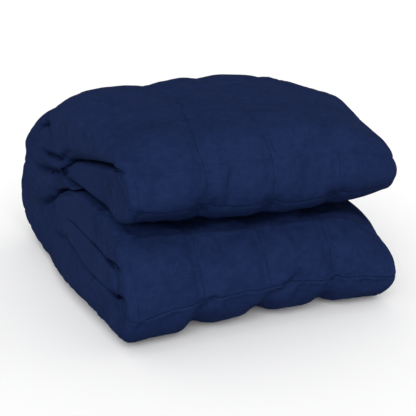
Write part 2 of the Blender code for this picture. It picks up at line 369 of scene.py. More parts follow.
x = np.interp(across, SEAM_ACROSS, SEAM_X)
pile_width = SEAM_X[-1]
left_edge = np.where(on_outer, outer_round, inner_round)
in_first = on_face & (across < POCKET)
x[in_first] = (left_edge + (SEAM_X[1] - left_edge) * across / POCKET)[in_first]
in_last = on_face & (across > STRIP_WIDTH - POCKET)
from_right = (STRIP_WIDTH - across) / POCKET
last_width = pile_width - SEAM_X[3]
x[in_last] = (pile_width - lobe_round - (last_width - lobe_round) * from_right)[in_last]
x[left_rim] = left_inset[left_rim]
x[right_rim] = (pile_width - right_inset)[right_rim]

# The layer inside the upper fold lies a little further in than the roll round it.
TUCK = 0.009
TUCK_REACH = 0.060
TUCK_LENGTH = (0.125, 0.190)
tucked = 1.0 - np.clip((length - TUCK_LENGTH[0]) / (TUCK_LENGTH[1] - TUCK_LENGTH[0]), 0.0, 1.0)
x += TUCK * tucked * np.exp(-(x / TUCK_REACH) ** 2)

# On top, the sewn columns lean to the right as they run back, and come straight again behind.
COLUMN_LEAN = ((0.0, 0.1, 0.2, 0.3, 0.4), (0.0, 0.19, 0.10, 0.13, 0.0))
LEAN_DEPTH = ((0.0, 0.04, 0.18, 0.28, 0.62), (0.0, 0.012, 0.15, 0.15, 0.0))
x += np.interp(across, *COLUMN_LEAN) * np.interp(length - front_row, *LEAN_DEPTH) * on_outer
print("across the pile, metres:", x.min().round(4), "to", x.max().round(4))

# %% Place every point
height = share_up.copy()
height[left_rim] = (left_height / thickness)[left_rim]
height[right_rim] = (right_height / thickness)[right_rim]
plain_end = end_rim & ~left_rim & ~right_rim
height[plain_end] = 0.5 - 0.5 * np.cos(np.pi * share_up[plain_end])
place = inner_place + (outer_place - inner_place) * height[:, None]
end_bulge = 0.5 * thickness * np.sin(np.pi * share_up) * end_rim
place += tangent * (end_bulge * np.where(row == 0, -1.0, 1.0))[:, None]
print("folded strip, y and z:", place.min(axis=0).round(4), "to", place.max(axis=0).round(4))

# %% [markdown]
# ## Settling
#
# Heavy cloth never stays as it was folded. The sides droop, the right ends of the two front
# folds are pressed together, the gap between them sinks, and the foot bulges out. A simulation
# of the whole pile could do this, but would not come out at the real pile's shape. These soft
# warps do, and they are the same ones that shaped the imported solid, so the strip fills its place.

# %% Settle
SIDE_SPREAD = (0.010, -0.004)           # left and right, metres
SPREAD_Y, SPREAD_Z = (0.20, 0.40), (0.0, 0.13)
SIDE_DROP = (0.080, 0.060)              # left and right, shares of the height
UPPER_PINCH = (0.165, 0.66)             # height pinched to, and what is left
LOWER_PINCH = (0.0, 0.68)
PINCH_X, PINCH_Y = (0.288, 0.424), (0.02, 0.18)
MOUTH_SINK = 0.010
SINK_X, SINK_Y = (0.04, 0.32), (0.08, 0.30)
BACK_SLUMP = 0.03
SLUMP_Y = (0.28, 0.48)
FRONT_Y = (0.0, 0.12)                   # the front, for the toe and the rounded corner
TOE = 0.018
TOE_Z = (0.0, 0.09)
CORNER_ROUND = 0.024
LAYER_WANDER = 0.004
WANDER_PACE = (17.0, 41.0)
FRAME_SHIFT = np.array([-0.1915, -0.2540, 0.0])


def soft_step(value, low, high):
    """Rise softly from 0 at low to 1 at high."""
    share = np.clip((value - low) / (high - low), 0.0, 1.0)
    return share * share * (3.0 - 2.0 * share)


def settle(x, y, z, upper):
    """Let the folded pile sag under its own weight."""
    side = 2.0 * x / STRIP_WIDTH - 1.0
    spread = np.where(side > 0.0, SIDE_SPREAD[1], SIDE_SPREAD[0])
    z = z * (1.0 - np.where(side > 0.0, SIDE_DROP[1], SIDE_DROP[0]) * side ** 2 * z / PILE_HEIGHT)
    right = soft_step(x, *PINCH_X)
    corner = right * (1.0 - soft_step(y, *PINCH_Y))
    pinch_height = np.where(upper, UPPER_PINCH[0], LOWER_PINCH[0])
    pinch_share = np.where(upper, UPPER_PINCH[1], LOWER_PINCH[1])
    z = pinch_height + (z - pinch_height) * (1.0 - (1.0 - pinch_share) * corner)
    y = y + np.where(upper, CORNER_ROUND * right ** 2 * (1.0 - soft_step(y, *FRONT_Y)), 0.0)
    z = z * (1.0 - BACK_SLUMP * soft_step(y, *SLUMP_Y) * z / PILE_HEIGHT)
    sinking = soft_step(x, *SINK_X) * (1.0 - soft_step(y, *SINK_Y))
    z = z - MOUTH_SINK * sinking * np.sin(np.pi * np.clip(z / PILE_HEIGHT, 0.0, 1.0))
    y = y - TOE * (1.0 - soft_step(z, *TOE_Z)) * (1.0 - soft_step(y, *FRONT_Y))
    spreading = (1.0 - soft_step(z, *SPREAD_Z)) * (1.0 - soft_step(y, *SPREAD_Y))
    x = x + spread * side * np.abs(side) * spreading
    x = x + LAYER_WANDER * np.sin(WANDER_PACE[0] * y + WANDER_PACE[1] * z)
    return x, y, np.maximum(z, 0.0)


upper = length < 0.5 * outer_length[-1]
x, y, z = settle(x, place[:, 0], place[:, 1], upper)
points = np.column_stack([x, y, z]) + FRAME_SHIFT
print("settled pile:", points.min(axis=0).round(4), points.max(axis=0).round(4))

# %% [markdown]
# ## Patting it into shape
#
# After folding, a blanket is patted here and pulled there. A pat moves the cloth near one place
# by a few millimetres, and fades out round it, as a sculpting brush does by hand. The table of
# pats is how the outline was brought to the real one: a fuller left shoulder, lower corners at
# the back, a rounder foot.

# %% Pats
PATS = (
    # where; x, y, z; how far it reaches in x, y, z; the move in x, y, z, in mm
    ("left shoulder", (-0.170, -0.02, 0.260), (0.090, 0.17, 0.07), (0, 0, 6)),
    ("left of the crest", (-0.060, 0.04, 0.280), (0.060, 0.14, 0.08), (0, 0, -5)),
    ("back left corner", (-0.200, 0.20, 0.240), (0.060, 0.09, 0.08), (4, -3, -5)),
    ("crest", (0.125, 0.05, 0.275), (0.038, 0.12, 0.08), (0, 0, 7)),
    ("back right top", (0.150, 0.08, 0.250), (0.070, 0.14, 0.09), (0, 0, -15)),
    ("right of the top", (0.182, -0.015, 0.250), (0.040, 0.09, 0.07), (0, 0, -14)),
    ("back right corner", (0.195, 0.03, 0.205), (0.035, 0.14, 0.04), (5, 0, 3)),
    ("under the right end", (0.185, -0.21, 0.160), (0.045, 0.06, 0.022), (0, 0, 5)),
    ("lower right shoulder", (0.185, -0.215, 0.130), (0.050, 0.06, 0.040), (20, 0, 3)),
    ("end of the mouth", (0.185, -0.15, 0.125), (0.050, 0.060, 0.035), (-17, 0, 0)),
    ("inside the mouth", (0.190, -0.01, 0.165), (0.050, 0.10, 0.042), (-20, 0, -4)),
    ("left of the back", (-0.200, 0.22, 0.190), (0.060, 0.10, 0.05), (-4, 0, 0)),
    ("lower right end", (0.200, -0.20, 0.080), (0.060, 0.16, 0.08), (-5, 0, 0)),
    ("right of the mouth", (0.150, -0.09, 0.150), (0.040, 0.08, 0.03), (0, 0, -8)),
    ("upper fold's sag", (0.000, -0.23, 0.160), (0.110, 0.07, 0.035), (0, 0, -9)),
    ("upper left corner", (-0.190, -0.23, 0.165), (0.050, 0.08, 0.035), (0, 0, 8)),
    ("lower right corner", (0.203, -0.258, 0.030), (0.012, 0.06, 0.05), (3, 0, 8)),
    ("foot", (-0.010, -0.26, 0.000), (0.125, 0.06, 0.05), (0, 9, 8)),
    ("under the foot", (0.000, -0.26, 0.014), (0.400, 0.05, 0.022), (0, 8, 0)),
)


def pat(points, centre, reach, move):
    """Move the points near a place, less and less towards its reach."""
    away = np.sum(((points - centre) / reach) ** 2, axis=1)
    return points + np.exp(-away)[:, None] * np.array(move) / 1000.0


for name, centre, reach, move in PATS:
    points = pat(points, np.array(centre), np.array(reach), move)
print("patted pile:", points.min(axis=0).round(4), points.max(axis=0).round(4))

# %% [markdown]
# ## Opening the mouth
#
# The two front folds touch, but behind the place where they touch there is a dark slot between
# them: the mouth. In the section it is thin, so that the solid has no narrow gap. Here the roof
# of the slot is lifted and its floor lowered a little, by the points' place on the cloth, since
# pats would move the faces round it too.

# %% Open the mouth
MOUTH_LIFT = 0.0030                     # of the upper fold's underside
MOUTH_DIP = 0.0060                      # of the lower fold's top
MOUTH_X = (0.010, 0.065)
MOUTH_Y = (0.032, 0.074, 0.170, 0.240)
ROOF_TO = 0.010                         # past the hem's line
FLOOR_FROM = 0.050                      # past the low row

mouth_depth = soft_step(place[:, 0], *MOUTH_Y[:2]) * (1.0 - soft_step(place[:, 0], *MOUTH_Y[2:]))
mouth_open = soft_step(x, *MOUTH_X) * mouth_depth * on_outer
mouth_roof = upper & (length < hem_line + ROOF_TO)
mouth_floor = ~upper & (length > low_row + FLOOR_FROM)
points[:, 2] += mouth_open * (MOUTH_LIFT * mouth_roof - MOUTH_DIP * mouth_floor)
print("mouth opened by up to", MOUTH_LIFT + MOUTH_DIP, "m")

# %% [markdown]
# ## Cloth coordinates
#
# The weave and the stitching follow the cloth round its folds, so the mesh gets a map in real
# metres: across the strip, and along it. An unwrap tool would cut and turn it, so it is worked
# out from the points' own places. On the rims and the inner face the first coordinate simply
# runs on, as a tape laid round the strip would. A quarter circle is shorter than its corner.

# %% Tape round the strip
CORNER_SAVING = 0.43                    # of the corner's radius
whole_tape = thickness - CORNER_SAVING * (outer_round + inner_round)
rim_tape = (1.0 - share_up) * whole_tape
inner_tape = -whole_tape - across
print("tape over a rim, metres:", whole_tape.min().round(4), "to", whole_tape.max().round(4))

# %% [markdown]
# ## From the flat strip to the blanket
#
# The flat strip's vertices are moved to their places and become a mesh. The steps after this
# one press the cloth in or out along its own normals, as a finger would, so the mesh's points
# and normals are read as arrays and written back.

# %% Make the mesh
for vertex, point in zip(flat.verts, points):
    vertex.co = point
blanket_mesh = bpy.data.meshes.new("folded_blanket")
flat.normal_update()
flat.to_mesh(blanket_mesh)
flat.free()
blanket = bpy.data.objects.new("folded_blanket", blanket_mesh)
bpy.context.collection.objects.link(blanket)
print("blanket:", len(blanket_mesh.polygons), "faces")


# %% Read, write and press
def read_points():
    """The mesh's points as an array."""
    values = np.empty(3 * len(blanket_mesh.vertices))
    blanket_mesh.vertices.foreach_get("co", values)
    return values.reshape(-1, 3)


def write_points(values):
    """Put an array of points back in the mesh."""
    blanket_mesh.vertices.foreach_set("co", values.ravel())
    blanket_mesh.update()


def read_normals():
    """The mesh's vertex normals as an array."""
    values = np.empty(3 * len(blanket_mesh.vertices))
    blanket_mesh.vertex_normals.foreach_get("vector", values)
    return values.reshape(-1, 3)


def press(depth):
    """Press every point in along the surface's normal, and keep it above the table."""
    points = read_points() - read_normals() * depth[:, None]
    points[:, 2] = np.maximum(points[:, 2], 0.0)
    write_points(points)


# %% [markdown]
# ## Sewn channels
#
# A seam pulls both sheets of cloth together, and the filling makes the pocket between two seams
# swell. The pull is strong where the cloth bends outwards round the foot of the pile and under
# the upper fold, and weak on the flat top, where the beads spread. Each seam is a wide soft
# valley with a narrow groove in it. They are pressed into the mesh, not painted, so that they
# show in the outline too.

# %% Channels
VALLEY_WIDTH = 0.017
GROOVE_WIDTH = 0.0032
RIM_CALM = 0.045                        # rows fade out this near to the left rim
DEPTH_AT = (
    # place along the cloth; column seams' valley, groove; row seams' valley, groove, mm
    (0.0, 3.0, 0.8, 2.0, 0.6),
    (hem_line - 0.045, 4.0, 1.0, 1.0, 0.4),
    (hem_line, 4.5, 1.2, 1.0, 0.4),
    (hem_line + 0.030, 4.0, 1.1, 1.0, 0.5),
    (front_row, 3.2, 1.0, 0.8, 0.6),
    (front_row + 0.060, 2.4, 1.0, 0.6, 0.3),
    (front_row + 0.200, 2.0, 0.7, 0.6, 0.3),
    (front_row + 0.400, 2.6, 0.8, 2.0, 0.6),
    (0.5 * (front_row + low_row), 3.5, 0.9, 2.6, 0.8),
    (low_row - 0.160, 6.0, 1.0, 2.5, 0.8),
    (low_row - 0.050, 9.0, 1.0, 1.0, 0.6),
    (low_row - 0.015, 7.0, 1.0, 0.8, 0.9),
    (low_row + 0.010, 4.2, 0.9, 0.8, 0.9),
    (low_row + 0.060, 3.0, 0.8, 0.8, 0.3),
    (low_row + 0.120, 2.0, 0.7, 0.8, 0.3),
    (outer_length[-1], 2.0, 0.6, 1.5, 0.5),
)
depth_places = [entry[0] for entry in DEPTH_AT]
col_valley, col_groove, row_valley, row_groove = (
    np.interp(length, depth_places, [entry[n] for entry in DEPTH_AT]) / 1000.0
    for n in (1, 2, 3, 4))


def hump(distance, width):
    """A bell curve of this half width."""
    return np.exp(-(distance / width) ** 2)


from_column = np.min([np.abs(across - POCKET * n) for n in range(1, POCKETS_ACROSS)], axis=0)
from_row = np.abs((length - first_seam + 0.5 * row_pitch) % row_pitch - 0.5 * row_pitch)
rim_fade = soft_step(np.where(on_face, across, 0.0), 0.0, RIM_CALM)
rim_fade = np.where(across > 0.5 * STRIP_WIDTH, 1.0, rim_fade)
channel = np.maximum(col_valley * hump(from_column, VALLEY_WIDTH),
                     row_valley * hump(from_row, VALLEY_WIDTH) * rim_fade)
channel += np.maximum(col_groove * hump(from_column, GROOVE_WIDTH),
                      row_groove * hump(from_row, GROOVE_WIDTH) * rim_fade)
press(channel)
print("deepest channel:", channel.max().round(4), "m")

# %% [markdown]
# ## Letting the filling push
#
# Real pockets are not as even as a formula. Blender's Cloth blows the cover up a little, with a
# light pressure and cloth that is cut slightly too large, while the seams, the hidden faces and
# the cloth on the table are held. Gravity is off, because the pile has settled already. The
# strip is full before it starts, so the general swell is taken off again, and each point may
# move a few millimetres at most. The result is written back to the mesh, so that nothing is
# left to simulate. A voxel remesh would suit a cushion, but here it would lose the map and the
# seams.

# %% What is held
RESTING_BELOW = 0.004                   # points this near to the table are held
RIM_HOLD, ROW_HOLD = 0.4, 0.9
HOLD_WIDTHS = (0.0045, 0.0035)          # of the columns' and the rows' seams
HIDDEN_FROM = (0.07, 0.16)              # how far in the roof of the mouth is hidden
HIDDEN_END = 0.22                       # past the low row
TOP_FROM, TOP_TO = (0.02, 0.06), (0.34, 0.42)   # the pile's top, past the front row

over_top = soft_step(length, front_row + TOP_FROM[0], front_row + TOP_FROM[1])
over_top = over_top * (1.0 - soft_step(length, front_row + TOP_TO[0], front_row + TOP_TO[1]))


def held_points(heights):
    """How firmly each point is held, from 0 to 1."""
    held = np.where(on_inner | end_rim, 1.0, 0.0) + RIM_HOLD * left_rim
    held = np.maximum(held, hump(from_column, HOLD_WIDTHS[0]) * on_face)
    row_hold = ROW_HOLD * hump(from_row, HOLD_WIDTHS[1]) * on_face * (1.0 - over_top)
    hidden = soft_step(place[:, 0], *HIDDEN_FROM) * (length < hem_line)
    hidden = hidden + (length > low_row + HIDDEN_END)
    held = np.clip(np.maximum(np.maximum(held, row_hold), hidden), 0.0, 1.0)
    return np.where(heights < RESTING_BELOW, 1.0, held)


held = held_points(read_points()[:, 2])
print("free points:", int((held < 0.1).sum()), "held points:", int((held > 0.9).sum()))

# %% Cloth simulation
PUSH_FRAMES = 16
SPARE_CLOTH = 0.028                     # how much too large the cover is cut
COVER = {"quality": 4, "mass": 0.2, "tension_stiffness": 12.0, "compression_stiffness": 12.0,
         "shear_stiffness": 6.0, "bending_stiffness": 0.6, "shrink_min": -SPARE_CLOTH,
         "use_pressure": True, "uniform_pressure_force": 4.0, "vertex_group_mass": "held"}


def blown_up():
    """Run the simulation and give the points where it ends."""
    group = blanket.vertex_groups.new(name="held")
    for strength in np.unique(np.round(held, 1)):
        chosen = np.flatnonzero(np.round(held, 1) == strength)
        group.add([int(n) for n in chosen], float(strength), "REPLACE")
    cover = blanket.modifiers.new("cover", "CLOTH")
    for name, value in COVER.items():
        setattr(cover.settings, name, value)
    cover.settings.effector_weights.gravity = 0.0
    cover.point_cache.frame_start = 1
    cover.point_cache.frame_end = PUSH_FRAMES
    for frame_number in range(1, PUSH_FRAMES + 1):
        bpy.context.scene.frame_set(frame_number)
    pushed = blanket.evaluated_get(bpy.context.evaluated_depsgraph_get())
    values = np.empty(3 * len(held))
    pushed.data.vertices.foreach_get("co", values)
    blanket.modifiers.remove(cover)
    blanket.vertex_groups.clear()
    bpy.context.scene.frame_set(1)
    return values.reshape(-1, 3)


# %% Keep what is wanted of the push
PUSH_CAP = 0.0040                       # metres that a point may move
SWELL_OFF = 0.8                         # share of the general swell that is taken off
TOP_CALM = 0.55                         # share of the movement that is taken off on top


def push_out():
    """Push the cover out, and write the capped movement back to the mesh."""
    before = read_points()
    normals = read_normals()
    move = blown_up() - before
    swell = np.median(np.sum(move * normals, axis=1)[held < 0.1])
    move -= normals * (SWELL_OFF * swell * (1.0 - held))[:, None]
    move *= (1.0 - TOP_CALM * over_top)[:, None]
    reach = np.linalg.norm(move, axis=1)
    print("push, mm: swell", (1000 * swell).round(2), "largest", (1000 * reach.max()).round(1))
    move *= np.minimum(1.0, PUSH_CAP / np.maximum(reach, 1e-9))[:, None]
    after = before + move
    after[:, 2] = np.maximum(after[:, 2], 0.0)
    write_points(after)


push_out()

# %% [markdown]
# ## Creases on the left side
#
# On the left side the folded edge shows how the layers lie on each other, with deep creases
# where the cloth has buckled. They are too sharp for a light simulation and too few to be worth
# a heavy one. Each crease is a line on the section's plane. Points of the rim near it are
# pushed in, and the line's far end tapers out.

# %% Creases
CREASES = (
    # name, line of y and z before settling, width and depth in mm
    ("corner crease", ((0.046, 0.2425), (0.024, 0.2414), (0.010, 0.2425)), 3.2, 5),
    ("upper crease", ((0.246, 0.1990), (0.276, 0.1958), (0.334, 0.1880), (0.385, 0.1885)),
     3.2, 10),
    ("second crease", ((0.252, 0.2010), (0.232, 0.2110), (0.190, 0.2240)), 3.5, 4),
    ("upper wave", ((0.254, 0.1780), (0.278, 0.1734), (0.350, 0.1610), (0.450, 0.1450)), 3.6, 11),
    ("lower wave", ((0.300, 0.1240), (0.334, 0.1090), (0.385, 0.0890)), 3.8, 10),
    ("wave's end", ((0.262, 0.1420), (0.240, 0.1490), (0.195, 0.1590)), 2.5, 4),
    ("tuft", ((0.3254, 0.2377), (0.348, 0.2356), (0.380, 0.2200)), 3.4, 15),
    ("tuft's fork", ((0.3254, 0.2377), (0.3268, 0.2290)), 3.2, 12),
    ("flap crease", ((0.060, 0.1085), (0.0435, 0.1101), (0.0150, 0.1119)), 2.6, 6),
    ("flap edge", ((0.0045, 0.0960), (0.0120, 0.1100), (0.0195, 0.1188)), 2.4, -2.5),
    ("foot crease", ((0.046, 0.0700), (0.020, 0.0740), (0.004, 0.0725)), 3.0, 5),
    ("low crease", ((0.262, 0.0735), (0.290, 0.0669), (0.320, 0.0640)), 2.6, 5),
)


def from_line(y, z, line):
    """Distance of points from a line of straight pieces, and how far along it they are."""
    best = np.full(len(y), 1e9)
    along = np.zeros(len(y))
    for n, (start, end) in enumerate(zip(line, line[1:])):
        start, run = np.array(start), np.array(end) - np.array(start)
        share = ((y - start[0]) * run[0] + (z - start[1]) * run[1]) / (run @ run)
        share = np.clip(share, 0.0, 1.0)
        gap = np.hypot(y - start[0] - share * run[0], z - start[1] - share * run[1])
        nearer = gap < best
        best[nearer] = gap[nearer]
        along[nearer] = ((n + share) / (len(line) - 1))[nearer]
    return best, along


# %% Press the creases
NEAR_LEFT = (0.004, 0.018)              # creases fade out from here to here on the faces
CREASE_TAPER = (0.65, 1.0)              # and along their lines

near_left = np.where(on_face, 1.0 - soft_step(x, *NEAR_LEFT), 0.0) + np.where(left_rim, 1.0, 0.0)
creasing = np.zeros(len(points))
for name, line, width, depth in CREASES:
    gap, along = from_line(place[:, 0], place[:, 1], line)
    taper = 1.0 - soft_step(along, *CREASE_TAPER)
    creasing = np.maximum(creasing, depth / 1000.0 * hump(gap, width / 1000.0) * taper)
press(creasing * near_left)
print("deepest crease:", creasing.max().round(4), "m")

# %% [markdown]
# ## Small folds in front
#
# The front of a used blanket is never smooth. Short wrinkles run down from the row on the upper
# fold, the pockets pucker where they turn under, and the lowest row makes a small ledge. The
# same tool serves as for the creases, but these are lines in the cloth's own coordinates, how
# far across and how far along, so that they stay on the cloth wherever it is folded to. The
# filling is uneven too, and a smooth noise gives the pockets their wide soft bumps.

# %% Folds
FOLDS = (
    # name, points: across, and along the cloth, width and depth in mm
    ("first wrinkle", ((0.142, front_row + 0.003), (0.137, front_row - 0.022),
                       (0.132, front_row - 0.046)), 8.5, 5.0),
    ("second wrinkle", ((0.247, front_row - 0.008), (0.245, front_row - 0.040)), 6.5, 4.5),
    ("third wrinkle", ((0.272, front_row - 0.002), (0.269, front_row - 0.036)), 6.0, 4.8),
    ("pucker by seam", ((0.106, front_row - 0.004), (0.108, front_row - 0.020)), 3.0, 1.0),
    ("dimple under hem", ((0.100, hem_line - 0.004), (0.101, hem_line - 0.014)), 6.0, 5.0),
    ("dimple under hem", ((0.200, hem_line - 0.002), (0.202, hem_line - 0.013)), 6.0, 5.0),
    ("dimple under hem", ((0.300, hem_line - 0.002), (0.302, hem_line - 0.012)), 6.0, 5.0),
    ("slanted pucker", ((0.112, low_row + 0.006), (0.109, low_row - 0.004),
                        (0.100, low_row - 0.018), (0.090, low_row - 0.032)), 6.0, 6.0),
    ("slanted pucker", ((0.246, low_row + 0.014), (0.226, low_row - 0.002),
                        (0.212, low_row - 0.016), (0.195, low_row - 0.032)), 6.5, 7.0),
    ("slanted pucker", ((0.306, low_row + 0.008), (0.302, low_row - 0.002),
                        (0.293, low_row - 0.016), (0.283, low_row - 0.030)), 6.0, 6.0),
    ("right pucker", ((0.290, low_row + 0.055), (0.298, low_row + 0.030),
                      (0.302, low_row + 0.008)), 6.5, 3.8),
    ("first tuck", ((0.099, low_row + 0.030), (0.101, low_row + 0.012)), 4.0, 1.5),
    ("second tuck", ((0.199, low_row + 0.045), (0.200, low_row + 0.030)), 4.0, 1.5),
    ("second tuck", ((0.200, low_row + 0.024), (0.197, low_row + 0.010)), 5.0, 2.5),
)

# %% Press the folds and the uneven filling
FADE_IN, FADE_OUT = (-0.20, 0.40), (0.75, 1.35)     # along a fold's line
LINE_PRESS = 0.0007                     # how far a sewn line is pressed in
LINE_SHARES = (0.6, 0.4, 1.0)           # the hem's line, the front row and the low row
LINE_WIDTH = 0.0013
LEDGE = 0.0009                          # the cloth stands out this much just below a line
LEDGE_SHARES = ((low_row, 1.0), (hem_line, 0.25))
LEDGE_DROP, LEDGE_WIDTH = 0.0042, 0.0028
FOLD_MARGIN = 0.02                      # folds fade out this near to the left edge
UNEVEN = 0.0012
BUMP_PACES = ((21.0, 19.0, 4.0, 1.0), (52.0, 47.0, 9.0, 0.5))   # across, along, slice, share


def press_folds():
    """Press the folds, the sewn lines and the ledges into the outer face."""
    depth = np.zeros(len(points))
    for name, line, width, deep in FOLDS:
        gap, along = from_line(across, length, line)
        ends = soft_step(along, *FADE_IN) * (1.0 - soft_step(along, *FADE_OUT))
        depth = np.maximum(depth, deep / 1000.0 * hump(gap, width / 1000.0) * ends)
    for line, share in zip(sewn_lines, LINE_SHARES):
        depth = depth + share * LINE_PRESS * hump(length - line, LINE_WIDTH)
    for line, share in LEDGE_SHARES:
        depth = depth - share * LEDGE * hump(length - line + LEDGE_DROP, LEDGE_WIDTH)
    press(depth * on_outer * soft_step(across, 0.0, FOLD_MARGIN))
    print("deepest fold:", depth.max().round(4), "m")


def press_uneven():
    """Make the filling uneven: wide soft bumps, the same ones at each run."""
    bumps = np.array([sum(share * noise.noise(Vector((pace_a * a, pace_l * l, cut)))
                          for pace_a, pace_l, cut, share in BUMP_PACES)
                      for a, l in zip(across, length)])
    press(-UNEVEN * bumps * np.where(on_inner, 0.0, 1.0))


press_uneven()
press_folds()

# %% [markdown]
# ## Painted shade in the folds
#
# The base colour is painted darker in the creases, in the mouth, just under the hem and where
# the cloth turns under: painted shade for the light that these places lose. A node that looks
# round each point could find such places, but slowly and with noise. The steps above know them
# already, so one number per point says how much painted shade it gets, and the material reads
# it as an attribute.

# %% Painted fold shade attribute
# How much painted shade each place gets: undersides, just under the hem, creases and the mouth.
UNDER_SHARE, HEM_SHARE, CREASE_SHARE, MOUTH_SHARE = 0.60, 0.40, 0.7, 0.9
DEEP_CREASE = 0.010
HEM_SHADE_FROM, HEM_SHADE_SOFT, HEM_SHADE_TO = 0.022, 0.026, 0.040

above_table = read_points()[:, 2] > RESTING_BELOW
# Undersides get painted shade by how far they face down.
turned_under = np.clip(-read_normals()[:, 2], 0.0, 1.0) * above_table
in_crease = creasing * near_left / DEEP_CREASE
under_hem = soft_step(hem_line + HEM_SHADE_FROM - length, 0.0, HEM_SHADE_SOFT)
under_hem = under_hem * (length > hem_line - HEM_SHADE_TO) * on_face
in_mouth = mouth_open * (mouth_roof | mouth_floor)
painted_shade_amount = np.maximum(UNDER_SHARE * turned_under + HEM_SHARE * under_hem, CREASE_SHARE * in_crease)
painted_shade_amount = np.clip(np.maximum(painted_shade_amount, MOUTH_SHARE * in_mouth), 0.0, 1.0)
# The painted shade is stored per point and darkens the base colour.
painted_fold_shade = blanket_mesh.attributes.new("painted_fold_shade", "FLOAT", "POINT")
painted_fold_shade.data.foreach_set("value", painted_shade_amount)
print("points in a fold:", int((painted_shade_amount > 0.3).sum()))

# %% [markdown]
# ## The map, and handing the piece over
#
# The tape coordinates go to the mesh as a UV map, corner by corner, because a point on an edge
# of the strip belongs to two stretches of the tape. Then the piece is told what it is: it rides
# on the only body, and it stands for the imported blanket.

# %% The map
def make_map():
    """Write the tape coordinates to a UV map, face by face."""
    cloth_map = blanket_mesh.uv_layers.new(name="cloth")
    corner_point = np.empty(len(blanket_mesh.loops), dtype=int)
    blanket_mesh.loops.foreach_get("vertex_index", corner_point)
    corner_point = corner_point.reshape(-1, 4)
    low_face = np.all(level[corner_point] == 0, axis=1)
    end_face = np.all(end_rim[corner_point] | on_face[corner_point], axis=1)
    right_face = np.all(column[corner_point] == COLUMNS, axis=1) & ~low_face
    left_face = np.all(column[corner_point] == 0, axis=1) & ~low_face
    u = np.where(low_face[:, None], inner_tape[corner_point], across[corner_point])
    u = np.where(left_face[:, None], -rim_tape[corner_point], u)
    u = np.where(right_face[:, None], STRIP_WIDTH + rim_tape[corner_point], u)
    over_end = (end_face & ~low_face)[:, None]
    v = length[corner_point] + np.where(over_end, rim_tape[corner_point], 0.0)
    cloth_map.data.foreach_set("uv", np.stack([u, v], axis=-1).ravel())
    print("map:", u.min().round(3), u.max().round(3), v.min().round(3), v.max().round(3))


make_map()

# %% Hand the piece over
blanket_mesh.shade_smooth()
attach(blanket, "root")
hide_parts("blanket")
print("box, metres:", read_points().min(axis=0).round(4), read_points().max(axis=0).round(4))

# %% [markdown]
# ## Weaving with nodes
#
# The sums of a shader read best as plain Python. They could be drawn node by node in the editor,
# but a long sum soon fills the screen there. The class below holds one output of a node, and
# its plus, minus, times and divide signs add Math nodes, whichever side the number stands on.
# Everything else comes from one method, node(), which takes a node's type, its settings and
# what goes into its sockets.

# %% Shader sums
class Thread:
    """An output of a node, which can be used in sums."""

    def __init__(self, tree, socket):
        self.tree = tree
        self.socket = socket

    def node(self, kind, settings=None, **sockets):
        """Add a node, with its settings first, and then the values or links of its sockets."""
        made = self.tree.nodes.new(kind)
        for name, value in (settings or {}).items():
            setattr(made, name, value)
        for name, value in sockets.items():
            place = int(name[1:]) if name[1:].isdigit() else name.replace("_", " ")
            if isinstance(value, Thread):
                self.tree.links.new(value.socket, made.inputs[place])
            else:
                made.inputs[place].default_value = value
        return made

    def out(self, made, name=0):
        """One output of a node, ready for sums."""
        return Thread(self.tree, made.outputs[name])

    def sum(self, operation, *values):
        """A Math node on these values."""
        sockets = {f"s{n}": value for n, value in enumerate(values)}
        return self.out(self.node("ShaderNodeMath", {"operation": operation}, **sockets))

    def __add__(self, other): return self.sum("ADD", self, other)
    def __radd__(self, other): return self.sum("ADD", other, self)
    def __sub__(self, other): return self.sum("SUBTRACT", self, other)
    def __rsub__(self, other): return self.sum("SUBTRACT", other, self)
    def __mul__(self, other): return self.sum("MULTIPLY", self, other)
    def __rmul__(self, other): return self.sum("MULTIPLY", other, self)
    def __truediv__(self, other): return self.sum("DIVIDE", self, other)
    def __rtruediv__(self, other): return self.sum("DIVIDE", other, self)
    def __lt__(self, other): return self.sum("LESS_THAN", self, other)

    def most(self, other): return self.sum("MAXIMUM", self, other)
    def fraction(self): return self.sum("FRACT", self)
    def size(self): return self.sum("ABSOLUTE", self)
    def wave(self): return self.sum("SINE", self)

    def fade(self, low, high):
        """1 below low, 0 above high, and a soft change between."""
        return self.out(self.node("ShaderNodeMapRange",
                                  {"interpolation_type": "SMOOTHSTEP", "clamp": True},
                                  Value=self, From_Min=low, From_Max=high,
                                  To_Min=1.0, To_Max=0.0))

    def stroke(self, width):
        """1 where this distance is nought, and 0 from the width outwards."""
        return self.size().fade(0.3 * width, width)


# %% [markdown]
# ## Navy cloth
#
# The cover is a plain matte weave with uneven yarn, so close that the photo shows only its
# unevenness. An image of cloth would repeat and blur, so it is woven from sums. Four scales are
# mixed: the threads, the slubs that run with and across them, a fine mottle, and wide faint
# clouds where the nap lies differently. The weave reads the map, so that it follows the cloth
# round its folds. The mottle and the clouds read the object's own coordinates.

# %% Cloth coordinates in the shader
cloth = bpy.data.materials.new("navy_cloth")
cloth.use_nodes = True
shader = cloth.node_tree.nodes["Principled BSDF"]
loom = Thread(cloth.node_tree, None)
uv = loom.node("ShaderNodeUVMap", {"uv_map": "cloth"})
split = loom.node("ShaderNodeSeparateXYZ", s0=loom.out(uv))
weft_place, warp_place = loom.out(split, 0), loom.out(split, 1)
here = loom.out(loom.node("ShaderNodeTexCoord"), "Object")
print("coordinates made by", len(cloth.node_tree.nodes), "nodes")


def flecks(vector, scale, detail=2.0, roughness=0.5):
    """Noise from 0 to 1."""
    made = loom.node("ShaderNodeTexNoise", {"noise_dimensions": "3D"}, Vector=vector,
                     Scale=scale, Detail=detail, Roughness=roughness)
    return loom.out(made, 0)


def stretched(across_scale, along_scale):
    """The cloth coordinates with another scale each way, as a vector."""
    return loom.out(loom.node("ShaderNodeCombineXYZ", s0=weft_place * across_scale,
                              s1=warp_place * along_scale))


